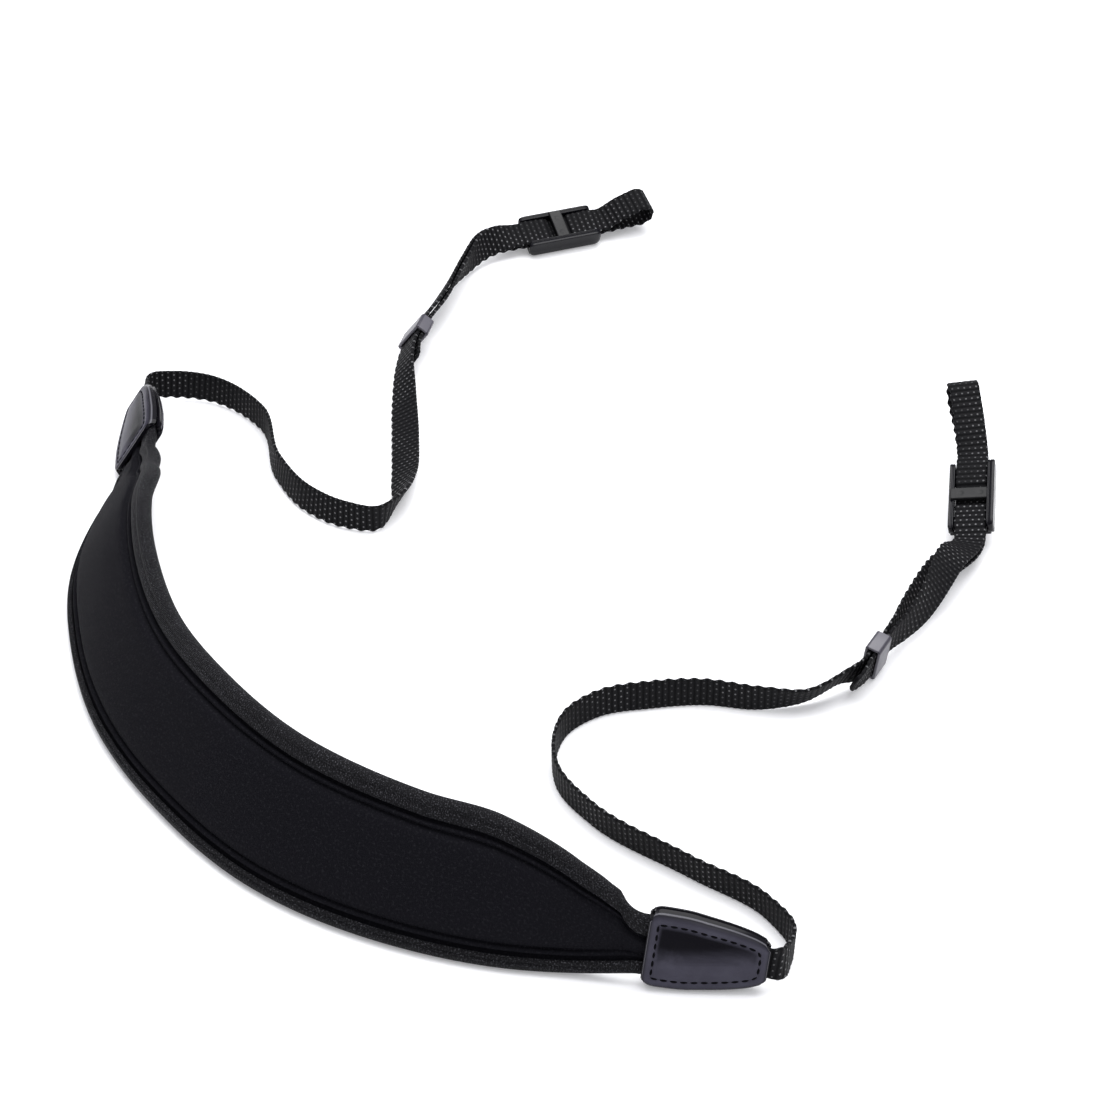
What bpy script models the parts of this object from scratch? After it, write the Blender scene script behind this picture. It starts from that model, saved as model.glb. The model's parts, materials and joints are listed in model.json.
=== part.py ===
# A neck strap for a camera, lying open on a table. A padded neoprene neck piece stands on its
# lower edge and leans inwards. At each end a sewn leather tab joins it to narrow webbing, which
# stands on edge, runs through a keeper and a ladder buckle, turns round an open eye and comes
# back as a tail.
#
# Tables and sizes are in millimetres and degrees; meshes are in metres, +Z up, z = 0 the table.
# "Left" and "right" are as seen from -Y. A run is read from its tab towards its eye. The lean of
# a section is how far its upper edge is turned from upright to the left of the run.

import math
from collections import namedtuple

import bmesh
import bpy
import numpy as np
from mathutils import Matrix, Vector

MM = 0.001
GAP = 0.3                   # clearance between neighbouring pieces
CLEAR_OF_TABLE = 0.2        # so that no facet of a twisted edge cuts into the table

# Where the middle of the strap's bounding box falls in the tables' frame
TABLE_MIDDLE = (-3.5, -0.5)

# Webbing
WEB_WIDTH = 11.0
WEB_THICK = 1.35
LAYER_PART = (WEB_THICK + GAP) / 2        # from the middle of a pressed pair to each layer's middle
EYE_RADIUS = 4.6                          # of the webbing's middle round the eye
TAIL_ROUNDING = 3.0                       # length of the melted, rounded tail tip
TAIL_SHAPE = [(0.0, 1.0), (0.5, 0.88), (0.8, 0.68), (1.0, 0.42)]    # share of it, share of width
SAMPLE = 0.5                              # distance between points worked out along a run
KEPT_APART = 3                            # samples left free beside a section that is kept
WEB_SPACING = 9.0                         # longest facet along a gentle bend
WEB_TURN = 15.0                           # degrees of bend or twist in one facet

# Keeper: a flat plastic sleeve round both layers
KEEPER_WALL = 1.0
KEEPER_LENGTH = 8.6
KEEPER_CORNER = 1.1

# Ladder buckle: two rails, an end bar under the webbing at each end, one bar over it midway
BUCKLE_LENGTH = 29.0
RAIL_HEIGHT = 6.2
RAIL_THICK = 2.1
RAIL_CORNER = 1.9
END_BAR_LENGTH = 2.6
MIDDLE_BAR_LENGTH = 5.2
BAR_THICK = 1.5
WEB_WAVE = 0.5                            # rise over an end bar, dip under the middle bar
BUCKLE_EDGE = 0.35

# Neck pad and the tape that binds its long edges
TAPE_WALL = 1.0
TAPE_DEPTH = 6.6                          # how far the tape reaches in from the edge
TAPE_HALF_PRESSED = 1.7                   # half thickness of the bound edge under a tab
TAPE_HALF_FULL = 2.9                      # and along the rest of the pad
TAPE_LIP_DROP = 0.5                       # how far the tape's lips sink towards the panel
RIDGE_HEIGHT = 1.0                        # sewn ridge between tape and panel
PANEL_FRONT = 4.6                         # half thickness of the panel's middle, outer side
PANEL_BACK = 3.1                          # and the side worn against the neck
PAD_SPACING = 11.0
PAD_TURN = 9.0

# Leather tabs: two patches each, sewn together round the pad's end and the webbing's end
TAB_WALL = 1.2
TAB_SEAM = 0.2                            # half the gap between the two patches' rims
TAB_RIM_FALL = 1.2                        # how much wider than its filling a tab is where it closes
PAD_IN_TAB = 13.0
WEB_IN_TAB = 20.5
WEB_STRAIGHT = 1.6                        # how far the webbing runs on before it bends

Outline = namedtuple("Outline", "distance half")
Knot = namedtuple("Knot", "x y lift lean part wave held")
PadKnot = namedtuple("PadKnot", "x y lift lean width full held")
Run = namedtuple("Run", "centre along up out part kept")

# A tab's outline from its mouth over the pad to its tip over the webbing: half widths
TAB_OUTLINE = [
    Outline(0.0, 8.8),
    Outline(0.4, 10.0),
    Outline(1.2, 11.1),
    Outline(2.3, 11.8),
    Outline(4.0, 12.2),
    Outline(10.0, 12.1),
    Outline(13.3, 11.8),
    Outline(17.0, 11.2),
    Outline(22.0, 10.4),
    Outline(27.0, 9.4),
    Outline(31.0, 8.3),
    Outline(33.6, 7.2),
    Outline(35.2, 6.2),
    Outline(36.2, 5.1),
    Outline(36.6, 4.1),
]
TAB_LENGTH = TAB_OUTLINE[-1].distance

# The pad, read from the left tab round to the right tab. x, y: middle of its lower bound edge;
# lift: how high that edge is off the table; full: 0 pressed thin, 1 full thickness;
# held: 1 where the stretch to the next row is straight
PAD_ROWS = [
    PadKnot(-150.3, 54.2, 2.4, 33, 20.5, 0.0, 1),
    PadKnot(-149.3, 40.7, 3.4, 33, 20.5, 0.0, 0),
    PadKnot(-150.2, 34.0, 2.0, 35, 23.5, 0.55, 0),
    PadKnot(-151.2, 26.0, 1.0, 37, 28.0, 0.85, 0),
    PadKnot(-155.2, 13.1, 0.0, 36.5, 37.5, 1.0, 0),
    PadKnot(-160.1, -21.3, 0.0, 37, 48.6, 1.0, 0),
    PadKnot(-155.9, -57.8, 0.0, 34, 49.6, 1.0, 0),
    PadKnot(-142.8, -102.1, 0.0, 34, 50.0, 1.0, 0),
    PadKnot(-123.3, -136.3, 0.0, 31, 51.0, 1.0, 0),
    PadKnot(-90.5, -174.7, 0.0, 29, 51.0, 1.0, 0),
    PadKnot(-45.0, -201.7, 0.0, 25, 49.3, 1.0, 0),
    PadKnot(-15.0, -210.8, 0.0, 22, 46.8, 1.0, 0),
    PadKnot(8.0, -214.0, 0.8, 17, 37.2, 0.8, 0),
    PadKnot(18.0, -216.0, 2.4, 12, 31.3, 0.4, 0),
    PadKnot(22.4, -216.8, 3.1, 11, 27.0, 0.2, 0),
    PadKnot(26.4, -217.8, 3.7, 10, 20.5, 0.0, 1),
    PadKnot(39.9, -219.2, 2.2, 10, 20.5, 0.0, 0),
]


def straight(x, y, heading, lift, slope, lean, places):
    """Rows through (x, y) along a heading, one for each (distance, part, wave) in places."""
    ahead = math.radians(heading)
    rise = math.tan(math.radians(slope))
    rows = []
    for distance, part, wave in places:
        px = x + distance * math.cos(ahead)
        py = y + distance * math.sin(ahead)
        rows.append(Knot(px, py, lift + distance * rise, lean, part, wave, 1))
    rows[-1] = rows[-1]._replace(held=0)
    return rows


def through_keeper(x, y, heading, lift, slope, lean):
    reach = KEEPER_LENGTH / 2 + 1.0
    places = [(-reach, LAYER_PART, 0), (reach, LAYER_PART, 0)]
    return straight(x, y, heading, lift, slope, lean, places)


def through_buckle(x, y, heading, lift, slope, lean):
    reach = BUCKLE_LENGTH / 2 + 2.0
    bar = (BUCKLE_LENGTH - END_BAR_LENGTH) / 2
    places = [
        (-reach, LAYER_PART, 0),
        (-bar, LAYER_PART, WEB_WAVE),
        (0, LAYER_PART, -WEB_WAVE),
        (bar, LAYER_PART, WEB_WAVE),
        (reach, LAYER_PART, 0),
    ]
    return straight(x, y, heading, lift, slope, lean, places)


# The webbing runs after the tabs. x, y: middle of the webbing; lift: height above resting on the
# table; part: how far each layer's middle lies from the middle of the pair, 0 where there is one
LEFT_KEEPER = dict(x=-49.8, y=126.5, heading=76, lift=1.7, slope=0, lean=-36)
LEFT_BUCKLE = dict(x=3.5, y=204.0, heading=20, lift=2.6, slope=0, lean=68)
LEFT_ROWS = [
    Knot(-147.3, 86.5, 2.2, -12, 0, 0, 0),
    Knot(-145.0, 91.4, 1.7, 2, 0, 0, 0),
    Knot(-137.0, 93.2, 1.2, 8, 0, 0, 0),
    Knot(-125.9, 92.4, 0.5, 8, 0, 0, 0),
    Knot(-104.1, 73.8, 0, 3, 0, 0, 0),
    Knot(-96.0, 42.0, 0, 7, 0, 0, 0),
    Knot(-84.1, 22.3, 0, 10, 0, 0, 0),
    Knot(-70.9, 13.0, 0, 6, 0, 0, 0),
    Knot(-60.0, 10.9, 0, -4, 0, 0, 0),
    Knot(-53.2, 21.5, 0, -26, 0, 0, 0),
    Knot(-51.5, 38.6, 0, -58, 0, 0, 0),
    Knot(-51.9, 63.1, 0, -66, 0, 0, 0),
    Knot(-52.9, 89.0, 0.3, -54, 0.4, 0, 0),
    Knot(-52.4, 108.1, 0.8, -38, 1.4, 0, 0),
    *through_keeper(**LEFT_KEEPER),
    Knot(-42.0, 149.0, 1.4, -34, 1.4, 0, 0),
    Knot(-34.0, 172.5, 1.6, -16, 1.3, 0, 0),
    Knot(-24.5, 190.5, 1.8, 22, 1.2, 0, 0),
    *through_buckle(**LEFT_BUCKLE),
    Knot(28.0, 213.0, 2.4, 69, 3.3, 0, 0),
    Knot(34.0, 215.2, 2.4, 70, EYE_RADIUS, 0, 0),
]
LEFT_TAIL = 13                            # row at which the tail ends

RIGHT_KEEPER = dict(x=106.8, y=-69.8, heading=60, lift=2.2, slope=6, lean=-10)
RIGHT_BUCKLE = dict(x=146.0, y=16.0, heading=84, lift=10.6, slope=16, lean=100)
RIGHT_ROWS = [
    Knot(71.5, -211.3, 0.8, -2, 0, 0, 0),
    Knot(72.5, -206.2, 0.4, -3, 0, 0, 0),
    Knot(65.5, -190.7, 0, 4, 0, 0, 0),
    Knot(43.1, -172.4, 0, 8, 0, 0, 0),
    Knot(13.2, -147.1, 0, 5, 0, 0, 0),
    Knot(2.4, -128.8, 0, 2, 0, 0, 0),
    Knot(1.6, -112.7, 0, 1, 0, 0, 0),
    Knot(5.3, -101.6, 0, 1, 0, 0, 0),
    Knot(15.8, -92.0, 0, 3, 0, 0, 0),
    Knot(32.5, -87.6, 0, 6, 0, 0, 0),
    Knot(50.1, -86.1, 0, 1, 0, 0, 0),
    Knot(68.1, -89.3, 0, -8, 0, 0, 0),
    Knot(82.5, -88.6, 0.2, -30, 0.3, 0, 0),
    Knot(97.0, -82.3, 0.9, -28, 2.1, 0, 0),
    *through_keeper(**RIGHT_KEEPER),
    Knot(122.5, -45.0, 3.6, 20, 2.6, 0, 0),
    Knot(134.0, -22.0, 5.4, 60, 2.2, 0, 0),
    *through_buckle(**RIGHT_BUCKLE),
    Knot(147.4, 43.0, 18.2, 98, 2.4, 0, 0),
    Knot(146.0, 56.0, 21.6, 96, EYE_RADIUS, 0, 0),
]
RIGHT_TAIL = 13


def smooth_rows(rows, step=SAMPLE):
    """Points every step along a smooth curve through the rows, one column for each value.

    Each stretch is a cubic whose end slopes lean to its shorter neighbour, and a held stretch
    takes its own slope at both ends, which keeps it straight. Also gives each row's own sample.
    """
    values = np.array([row[:-1] for row in rows], dtype=float)
    held = [row.held for row in rows]
    chords = np.linalg.norm(np.diff(values[:, :2], axis=0), axis=1)
    rates = np.diff(values, axis=0) / chords[:, None]
    slopes = np.empty_like(values)
    slopes[0] = rates[0]
    slopes[-1] = rates[-1]
    for i in range(1, len(rows) - 1):
        before, after = chords[i - 1], chords[i]
        slopes[i] = (rates[i - 1] * after + rates[i] * before) / (before + after)
    turning = list(range(2, values.shape[1]))
    for i in range(len(chords)):
        if held[i]:
            for end in (i, i + 1):
                slopes[end, :2] = rates[i, :2]
                slopes[end, 2] = rates[i, 2]
                slopes[end, turning[1:]] = 0
    samples = []
    places = [0]
    for i, chord in enumerate(chords):
        count = max(2, math.ceil(chord / step))
        places.append(places[-1] + count)
        t = np.arange(count)[:, None] / count
        samples.append(
            (2 * t**3 - 3 * t**2 + 1) * values[i]
            + (t**3 - 2 * t**2 + t) * chord * slopes[i]
            + (3 * t**2 - 2 * t**3) * values[i + 1]
            + (t**3 - t**2) * chord * slopes[i + 1]
        )
    samples.append(values[-1:])
    return np.vstack(samples), places


def unit(vectors):
    return vectors / np.linalg.norm(vectors, axis=-1, keepdims=True)


def frames(points, lean):
    """Directions along a run, across it (upper edge) and out of it (right-hand face)."""
    along = unit(np.gradient(points, axis=0))
    vertical = np.array([0.0, 0.0, 1.0])
    left = unit(np.cross(vertical, along))
    angle = np.radians(lean)[:, None]
    up = np.cos(angle) * vertical + np.sin(angle) * left
    up = unit(up - np.sum(up * along, axis=1, keepdims=True) * along)
    return along, up, np.cross(along, up)


def spaced(points, directions, spacing, turn, kept=()):
    """Indices of the samples that carry a section, closer where the run bends or twists.

    The kept ones always carry one, and no other lies beside them.
    """
    travel = np.linalg.norm(np.diff(points, axis=0), axis=1) / spacing
    for direction in directions:
        cosine = np.clip(np.sum(direction[1:] * direction[:-1], axis=1), -1, 1)
        travel = np.maximum(travel, np.degrees(np.arccos(cosine)) / turn)
    total = np.concatenate([[0], np.cumsum(travel)])
    wanted = np.linspace(0, total[-1], math.ceil(total[-1]) + 1)
    picks = np.searchsorted(total, wanted - 1e-9).clip(0, len(points) - 1)
    free = [i for i in picks if all(abs(i - place) > KEPT_APART for place in kept)]
    return np.unique(free + list(kept))


def new_object(name, bm, material):
    mesh = bpy.data.meshes.new(name)
    bm.to_mesh(mesh)
    bm.free()
    mesh.materials.append(material)
    item = bpy.data.objects.new(name, mesh)
    strap_collection.objects.link(item)
    return item


def placed(points):
    """Table millimetres to metres about the middle of the strap."""
    shift = np.array([TABLE_MIDDLE[0], TABLE_MIDDLE[1], 0.0])
    return (np.asarray(points) - shift) * MM


def place(item, centre, along, up, out):
    """Put an object modelled along X, up Y and out Z at a point of a run."""
    matrix = Matrix(np.column_stack([along, up, out]).tolist()).to_4x4()
    matrix.translation = Vector(placed(centre))
    item.matrix_world = matrix


def loft(name, rings, material):
    """A closed solid through rings of equal length, capped at both ends."""
    bm = bmesh.new()
    loops = [[bm.verts.new(point) for point in placed(ring)] for ring in rings]
    size = len(loops[0])
    for near, far in zip(loops, loops[1:]):
        for i in range(size):
            j = (i + 1) % size
            bm.faces.new((near[i], near[j], far[j], far[i]))
    bm.faces.new(loops[0])
    bm.faces.new(loops[-1])
    bmesh.ops.recalc_face_normals(bm, faces=bm.faces)
    item = new_object(name, bm, material)
    item.data.shade_smooth()
    item.data.set_sharp_from_angle(angle=math.radians(35))
    return item


def sheet(name, rows, material, thickness, outside=None):
    """A wall on a grid of points, centred on it, or all on its outer side where outside is given."""
    rows = np.asarray(rows)
    bm = bmesh.new()
    bmesh.ops.create_grid(bm, x_segments=rows.shape[1] - 1, y_segments=rows.shape[0] - 1, size=0.5)
    bm.verts.ensure_lookup_table()
    order = sorted(bm.verts, key=lambda vert: (round(vert.co.y, 5), round(vert.co.x, 5)))
    for vert, point in zip(order, placed(rows.reshape(-1, 3))):
        vert.co = point
    bm.normal_update()
    if outside is not None and sum(face.normal.dot(Vector(outside)) for face in bm.faces) < 0:
        bmesh.ops.reverse_faces(bm, faces=bm.faces)
    item = new_object(name, bm, material)
    wall = item.modifiers.new("Wall", "SOLIDIFY")
    wall.thickness = thickness * MM
    wall.offset = 0 if outside is None else 1
    wall.use_even_offset = True
    item.data.shade_smooth()
    return item


def material(name, colour, roughness):
    made = bpy.data.materials.new(name)
    made.use_nodes = True
    shader = made.node_tree.nodes["Principled BSDF"]
    shader.inputs["Base Color"].default_value = (*colour, 1)
    shader.inputs["Roughness"].default_value = roughness
    return made


def webbing_run(rows):
    """The middle line of a webbing run, its frames and how far its layers part."""
    samples, places = smooth_rows(rows)
    x, y, lift, lean, part, wave = samples.T
    angle = np.radians(lean)
    rest = WEB_WIDTH / 2 * np.cos(angle) + (WEB_THICK / 2 + part) * np.abs(np.sin(angle))
    line = np.column_stack([x, y, lift + rest + CLEAR_OF_TABLE])
    along, up, out = frames(line, lean)
    held = [row.held for row in rows]
    kept = [place for place, near, far in zip(places, held, [0] + held) if near or far]
    return Run(line + wave[:, None] * out, along, up, out, part, [0] + kept + [len(line) - 1])


def webbing(name, run, tail_at, material):
    """One ribbon: out along the run, round the eye and back to the tail."""
    picks = spaced(run.centre, (run.along, run.up), WEB_SPACING, WEB_TURN, run.kept)
    shift = run.out * run.part[:, None]
    half = WEB_WIDTH / 2
    stations = [(run.centre[i] - shift[i], run.up[i], half) for i in picks]
    for angle in np.radians(np.arange(30, 180, 30)):
        round_eye = run.along[-1] * math.sin(angle) - run.out[-1] * math.cos(angle)
        stations.append((run.centre[-1] + round_eye * run.part[-1], run.up[-1], half))
    rounding = round(TAIL_ROUNDING / SAMPLE)
    full_to = tail_at + rounding
    stations += [(run.centre[i] + shift[i], run.up[i], half) for i in picks[::-1] if i > full_to + 2]
    for share, narrowing in TAIL_SHAPE:
        i = full_to - round(rounding * share)
        stations.append((run.centre[i] + shift[i], run.up[i], half * narrowing))
    rows = [(point - up * reach, point + up * reach) for point, up, reach in stations]
    return sheet(name, rows, material, WEB_THICK)


def nearest(run, x, y):
    return int(np.argmin(np.hypot(run.centre[:, 0] - x, run.centre[:, 1] - y)))


def keeper(name, run, spot, material):
    """A rectangular sleeve with rounded long edges."""
    inner_width = WEB_WIDTH + 2 * GAP
    inner_height = 2 * (LAYER_PART + WEB_THICK / 2 + GAP)
    size = (KEEPER_LENGTH, inner_width + 2 * KEEPER_WALL, inner_height + 2 * KEEPER_WALL)
    bm = bmesh.new()
    bmesh.ops.create_cube(bm, size=1, matrix=Matrix.Diagonal((*size, 1)))
    bmesh.ops.scale(bm, vec=(MM, MM, MM), verts=bm.verts)
    ends = [face for face in bm.faces if abs(face.normal.x) > 0.5]
    bmesh.ops.delete(bm, geom=ends, context="FACES_ONLY")
    long_edges = [e for e in bm.edges if abs(e.verts[0].co.x - e.verts[1].co.x) > MM]
    bmesh.ops.bevel(bm, geom=long_edges, offset=KEEPER_CORNER * MM, segments=2, profile=0.5,
                    affect="EDGES", material=-1)
    item = new_object(name, bm, material)
    wall = item.modifiers.new("Wall", "SOLIDIFY")
    wall.thickness = KEEPER_WALL * MM
    wall.offset = -1
    wall.use_even_offset = True
    i = nearest(run, spot["x"], spot["y"])
    place(item, run.centre[i], run.along[i], run.up[i], run.out[i])
    return item


def block(size, centre, corner=0.0):
    """A box as a mesh object, with its edges across the strap rounded by corner."""
    bm = bmesh.new()
    bmesh.ops.create_cube(bm, size=1, matrix=Matrix.Diagonal((*size, 1)))
    bmesh.ops.translate(bm, vec=centre, verts=bm.verts)
    bmesh.ops.scale(bm, vec=(MM, MM, MM), verts=bm.verts)
    if corner:
        across = [e for e in bm.edges if abs(e.verts[0].co.y - e.verts[1].co.y) > MM]
        bmesh.ops.bevel(bm, geom=across, offset=corner * MM, segments=3, profile=0.5,
                        affect="EDGES", material=-1)
    mesh = bpy.data.meshes.new("block")
    bm.to_mesh(mesh)
    bm.free()
    return mesh


def buckle(name, run, spot, material):
    """Two rails joined by three bars, one body."""
    inner = WEB_WIDTH + 4 * GAP
    bar_face = LAYER_PART + WEB_THICK / 2 + GAP - WEB_WAVE + 0.12
    bar_middle = bar_face + BAR_THICK / 2
    bar_span = inner + RAIL_THICK
    end_place = (BUCKLE_LENGTH - END_BAR_LENGTH) / 2
    rail_place = (inner + RAIL_THICK) / 2
    rail = (BUCKLE_LENGTH, RAIL_THICK, RAIL_HEIGHT)
    end_bar = (END_BAR_LENGTH - 0.4, bar_span, BAR_THICK)
    middle_bar = (MIDDLE_BAR_LENGTH, bar_span, BAR_THICK)
    pieces = [
        block(rail, (0, -rail_place, 0), RAIL_CORNER),
        block(rail, (0, rail_place, 0), RAIL_CORNER),
        block(end_bar, (-end_place, 0, -bar_middle)),
        block(end_bar, (end_place, 0, -bar_middle)),
        block(middle_bar, (0, 0, bar_middle)),
    ]
    item = bpy.data.objects.new(name, pieces[0])
    pieces[0].materials.append(material)
    strap_collection.objects.link(item)
    for mesh in pieces[1:]:
        tool = bpy.data.objects.new(name + "_piece", mesh)
        tool.hide_render = True
        tool.display_type = "WIRE"
        cutter_collection.objects.link(tool)
        tool.parent = item
        joint = item.modifiers.new("Join", "BOOLEAN")
        joint.operation = "UNION"
        joint.object = tool
    edge = item.modifiers.new("Edges", "BEVEL")
    edge.width = BUCKLE_EDGE * MM
    edge.segments = 1
    edge.limit_method = "ANGLE"
    edge.angle_limit = math.radians(50)
    i = nearest(run, spot["x"], spot["y"])
    centre = run.centre[i] + WEB_WAVE * run.out[i]
    place(item, centre, run.along[i], run.up[i], run.out[i])
    return item


def pad_run():
    """The pad's middle line and frames, with its width and fullness at each sample."""
    samples, places = smooth_rows(PAD_ROWS)
    x, y, lift, lean, width, full = samples.T
    edge = TAPE_HALF_PRESSED + (TAPE_HALF_FULL - TAPE_HALF_PRESSED) * full
    foot = np.column_stack([x, y, lift + edge + CLEAR_OF_TABLE])
    along, up, out = frames(foot, lean)
    centre = foot + up * (width / 2 - edge)[:, None]
    kept = [places[i] for i in (0, 1, -2, -1)]
    return Run(centre, along, up, out, None, kept), width, full, edge


def tape_section(half_width, edge):
    """The upper tape's outline as (across, out) points, round the edge and back inside."""
    lip = half_width - TAPE_DEPTH
    bend = half_width - edge
    inside = edge - TAPE_WALL
    points = [(lip, edge - TAPE_LIP_DROP)]
    for angle in np.radians((90, 50, 15, -15, -50, -90)):
        points.append((bend + edge * math.cos(angle), edge * math.sin(angle)))
    points.append((lip, TAPE_LIP_DROP - edge))
    points.append((lip, TAPE_LIP_DROP + TAPE_WALL - edge))
    for angle in np.radians((-90, -40, 0, 40, 90)):
        points.append((bend + inside * math.cos(angle), inside * math.sin(angle)))
    points.append((lip, edge - TAPE_WALL - TAPE_LIP_DROP))
    return points


def pad_section(half_width, edge, full):
    """The pad's outline: a thin flange under each tape, a ridge, and the crowned panel."""
    flange = edge - TAPE_WALL - GAP
    lip_flange = flange - TAPE_LIP_DROP
    bend = half_width - edge
    panel = half_width - TAPE_DEPTH - GAP
    tight = min(1.0, panel / 9.0)
    front = edge - 0.3 + (PANEL_FRONT - TAPE_HALF_FULL + 0.3) * full
    back = edge - 0.6 + (PANEL_BACK - TAPE_HALF_FULL + 0.6) * full
    low = lip_flange + 0.5 * full
    half_front = [
        (bend + flange * math.cos(math.radians(40)), flange * math.sin(math.radians(40))),
        (bend, flange),
        (panel, lip_flange),
        (panel - 0.3 * tight, low + RIDGE_HEIGHT * (0.4 + 0.6 * full)),
        (panel - 1.5 * tight, low + RIDGE_HEIGHT * (0.4 + 0.6 * full)),
        (panel - 2.4 * tight, low + 0.35 * RIDGE_HEIGHT),
        (panel * 0.62, low + (front - low) * 0.72),
        (panel * 0.3, low + (front - low) * 0.95),
    ]
    half_back = [
        (bend + flange * math.cos(math.radians(40)), -flange * math.sin(math.radians(40))),
        (bend, -flange),
        (panel, -lip_flange),
        (panel - 0.6 * tight, -lip_flange - 0.6 * full),
        (panel * 0.5, -back * 0.96),
    ]
    tip = [(bend + flange, 0.0)]
    upper = tip + half_front
    lower = [(-across, out) for across, out in half_front]
    under = [(-across, out) for across, out in half_back]
    outline = upper + [(0.0, front)] + lower[::-1] + [(-bend - flange, 0.0)]
    return outline + under + [(0.0, -back)] + half_back[::-1]


def swept(run, picks, sections, sides=1):
    """Rings of space points from (across, out) sections at the picked samples."""
    rings = []
    for i, section in zip(picks, sections):
        ring = [run.centre[i] + sides * a * run.up[i] + b * run.out[i] for a, b in section]
        rings.append(ring)
    return rings


def neck_pad(neoprene, tape):
    run, width, full, edge = pad_run()
    picks = spaced(run.centre, (run.along, run.up), PAD_SPACING, PAD_TURN, run.kept)
    halves = width / 2
    core = [pad_section(halves[i], edge[i], full[i]) for i in picks]
    bound = [tape_section(halves[i], edge[i]) for i in picks]
    loft("neck_pad", swept(run, picks, core), neoprene)
    loft("binding_upper", swept(run, picks, bound), tape)
    loft("binding_lower", swept(run, picks, bound, sides=-1), tape)
    return run


def tab_frame(run, end, outward):
    """Mouth point and directions of a tab at one end of the pad; outward is +1 or -1 along."""
    along = run.along[end] * outward
    mouth = run.centre[end] - along * PAD_IN_TAB
    return mouth, along, run.up[end], run.out[end]


def ease(value):
    value = min(1.0, max(0.0, value))
    return value * value * (3 - 2 * value)


def tab_patch(name, frame, side, leather):
    """One patch: raised over the pad's end, lower over the webbing, with a flat rim beside them."""
    mouth, along, up, out = frame
    pad_half = PAD_ROWS[0].width / 2 + GAP
    pad_high = TAPE_HALF_PRESSED + GAP
    web_half = WEB_WIDTH / 2 + GAP
    web_high = WEB_THICK / 2 + GAP
    rows = []
    for distance, half in TAB_OUTLINE:
        to_web = ease((distance - PAD_IN_TAB - GAP) / 6.0)
        covered = pad_half + (web_half - pad_half) * to_web
        high = pad_high + (web_high - pad_high) * to_web
        shoulder = min(covered, half - 0.45)
        foot = min(shoulder + 1.3, half - 0.1)
        rim = high + (TAB_SEAM - high) * ease((half - covered) / TAB_RIM_FALL)
        across = (-half, -foot, -shoulder, -shoulder / 2, 0, shoulder / 2, shoulder, foot, half)
        heights = (rim, rim, high, high + 0.15, high + 0.2, high + 0.15, high, rim, rim)
        rows.append([mouth + along * distance + up * a + out * side * h
                     for a, h in zip(across, heights)])
    return sheet(name, rows, leather, TAB_WALL, outside=out * side)


def tab_rows(frame):
    """The webbing's straight start inside a tab, as rows of its run."""
    mouth, along, up, _ = frame
    left = np.cross((0.0, 0.0, 1.0), along)
    lean = math.degrees(math.atan2(np.dot(up, left), up[2]))
    rows = []
    for distance in (TAB_LENGTH - WEB_IN_TAB, TAB_LENGTH + WEB_STRAIGHT):
        x, y, z = mouth + along * distance
        angle = math.radians(lean)
        rest = WEB_WIDTH / 2 * math.cos(angle) + WEB_THICK / 2 * abs(math.sin(angle))
        rows.append(Knot(x, y, z - rest, lean, 0, 0, 1))
    rows[-1] = rows[-1]._replace(held=0)
    return rows


def build():
    neoprene = material("neoprene", (0.022, 0.022, 0.024), 0.72)
    tape = material("binding_tape", (0.024, 0.024, 0.027), 0.8)
    leather = material("tab_leather", (0.026, 0.026, 0.034), 0.3)
    nylon = material("webbing_nylon", (0.03, 0.03, 0.032), 0.7)
    plastic = material("buckle_plastic", (0.035, 0.033, 0.04), 0.35)

    pad = neck_pad(neoprene, tape)
    left_tab = tab_frame(pad, 0, -1)
    right_tab = tab_frame(pad, -1, 1)
    sides = (
        ("left", left_tab, LEFT_ROWS, LEFT_TAIL, LEFT_KEEPER, LEFT_BUCKLE),
        ("right", right_tab, RIGHT_ROWS, RIGHT_TAIL, RIGHT_KEEPER, RIGHT_BUCKLE),
    )
    for side, frame, rows, tail_row, keeper_spot, buckle_spot in sides:
        tab_patch("tab_front_" + side, frame, 1, leather)
        tab_patch("tab_back_" + side, frame, -1, leather)
        run = webbing_run(tab_rows(frame) + rows)
        tail_at = nearest(run, rows[tail_row].x, rows[tail_row].y)
        webbing("webbing_" + side, run, tail_at, nylon)
        keeper("keeper_" + side, run, keeper_spot, plastic)
        buckle("buckle_" + side, run, buckle_spot, plastic)


for old in list(bpy.data.objects):
    bpy.data.objects.remove(old, do_unlink=True)
strap_collection = bpy.data.collections.new("camera_neck_strap")
cutter_collection = bpy.data.collections.new("cutters")
for collection in (strap_collection, cutter_collection):
    bpy.context.scene.collection.children.link(collection)
build()
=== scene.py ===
import json
import math

import bmesh
import bpy
import numpy as np
from mathutils import Matrix, Vector

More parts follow.
